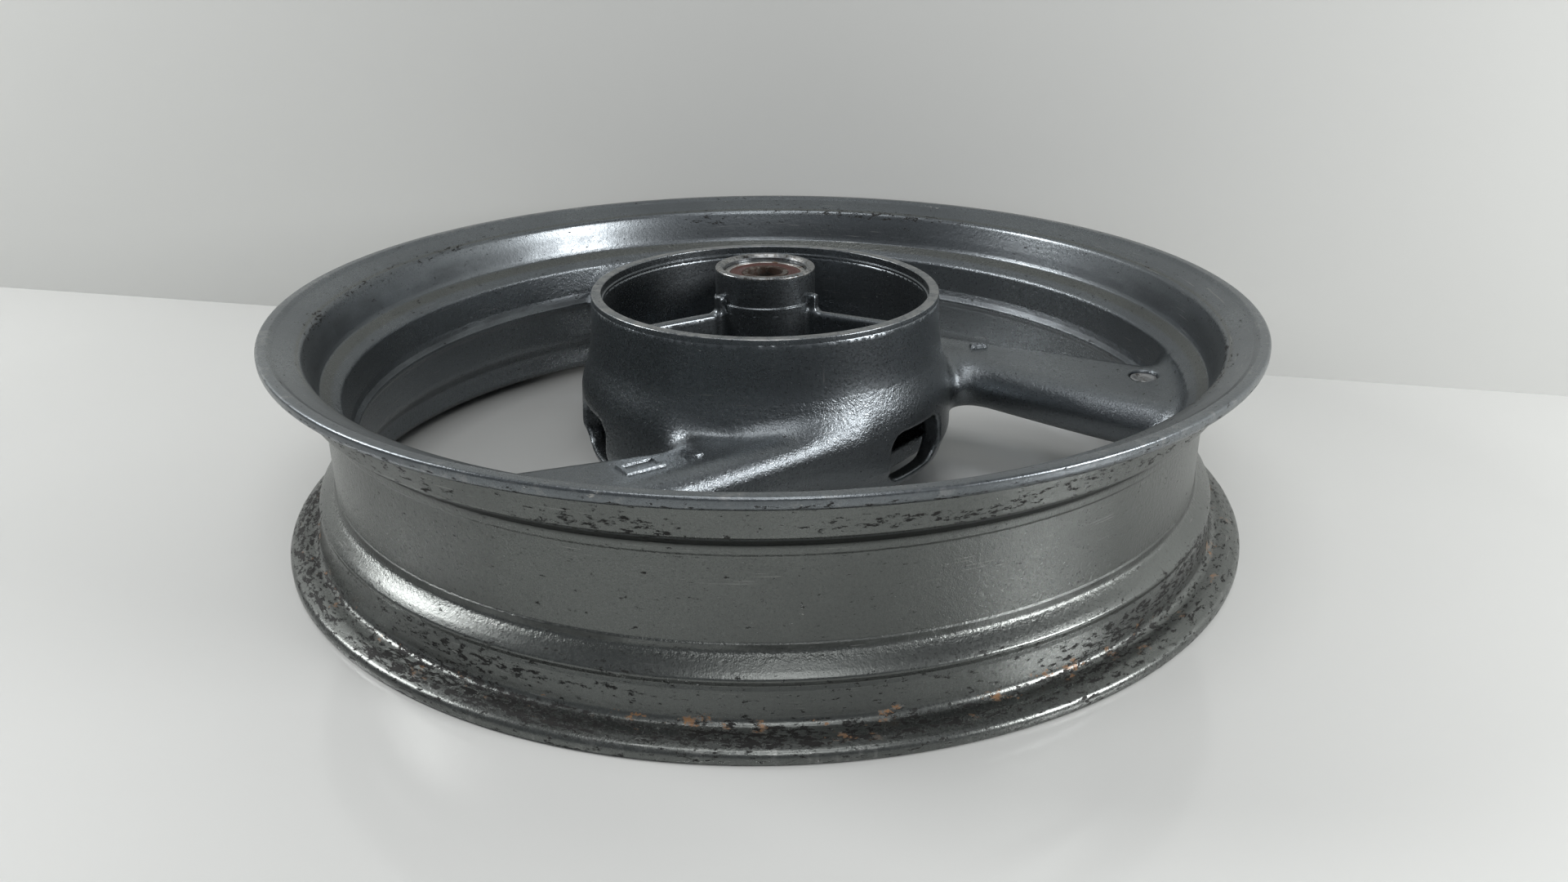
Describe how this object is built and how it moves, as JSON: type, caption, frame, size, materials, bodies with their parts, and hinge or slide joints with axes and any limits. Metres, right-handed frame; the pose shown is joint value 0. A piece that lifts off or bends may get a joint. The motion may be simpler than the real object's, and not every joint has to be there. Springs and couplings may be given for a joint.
{
  "type": "motorcycle wheel rim",
  "caption": "Cast aluminium rear wheel with hollow swept spokes, an open cushion cup around the hub, and sealed bearings.",
  "frame": {"origin": "on the axle axis, at the level of the lower rim flange that the wheel lies on", "axes": "+Z along the axle axis, from the disc side to the sprocket side; +X to the right of the picture"},
  "size_m": [0.4646, 0.4646, 0.1176],
  "materials": {
    "painted_casting": "silver-grey metallic paint, worn and chipped at the edges",
    "bearing_steel": "ground bearing steel with light rust",
    "seal_rubber": "dull reddish-brown rubber",
    "cage_moulding": "natural moulded plastic",
    "plug_metal": "pressed sheet, painted over"
  },
  "bodies": {
    "wheel": {"wheel_casting": "painted_casting", "core_plug_1": "plug_metal", "core_plug_2": "plug_metal", "core_plug_3": "plug_metal", "sprocket_bearing_outer_ring": "bearing_steel", "sprocket_bearing_seal": "seal_rubber", "disc_bearing_outer_ring": "bearing_steel", "disc_bearing_seal": "seal_rubber"},
    "axle_sleeve": {"sprocket_bearing_inner_ring": "bearing_steel", "disc_bearing_inner_ring": "bearing_steel", "distance_tube": "bearing_steel"},
    "sprocket_ball_set": {"sprocket_bearing_balls": "bearing_steel", "sprocket_bearing_cage": "cage_moulding"},
    "disc_ball_set": {"disc_bearing_balls": "bearing_steel", "disc_bearing_cage": "cage_moulding"}
  },
  "joints": [
    {"name": "axle_turn", "type": "hinge", "parent": "wheel", "child": "axle_sleeve", "pos_m": [0, 0, 0.066], "axis": [0, 0, 1], "continuous": true},
    {"name": "sprocket_balls_turn", "type": "hinge", "parent": "wheel", "child": "sprocket_ball_set", "pos_m": [0, 0, 0.1086], "axis": [0, 0, 1], "continuous": true},
    {"name": "disc_balls_turn", "type": "hinge", "parent": "wheel", "child": "disc_ball_set", "pos_m": [0, 0, 0.0225], "axis": [0, 0, 1], "continuous": true}
  ],
  "couplings": [
    {"joint": "sprocket_balls_turn", "follows": "axle_turn", "ratio": 0.394},
    {"joint": "disc_balls_turn", "follows": "axle_turn", "ratio": 0.394}
  ]
}
